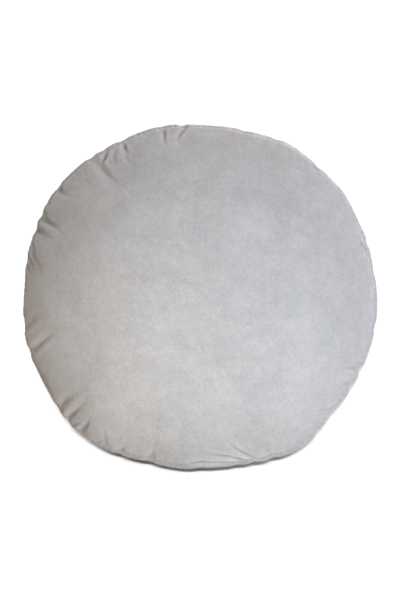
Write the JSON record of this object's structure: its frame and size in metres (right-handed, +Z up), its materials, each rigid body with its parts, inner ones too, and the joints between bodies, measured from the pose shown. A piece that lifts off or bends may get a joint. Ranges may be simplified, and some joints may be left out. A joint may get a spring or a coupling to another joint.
{
  "type": "round cushion",
  "caption": "Round velvet scatter cushion with a domed face, a plain sewn edge and a puckered rim, filled with loose fibre.",
  "frame": {"origin": "centre of the outline's box, on the surface that the cushion lies on", "axes": "+Z up out of the middle of the face, +Y to the top of the face as it is shown, +X to its right"},
  "size_m": [0.4486, 0.4378, 0.128],
  "materials": {
    "velvet": "light grey short-pile velvet with a soft sheen"
  },
  "bodies": {
    "root": {"cushion": "velvet"}
  },
  "joints": []
}
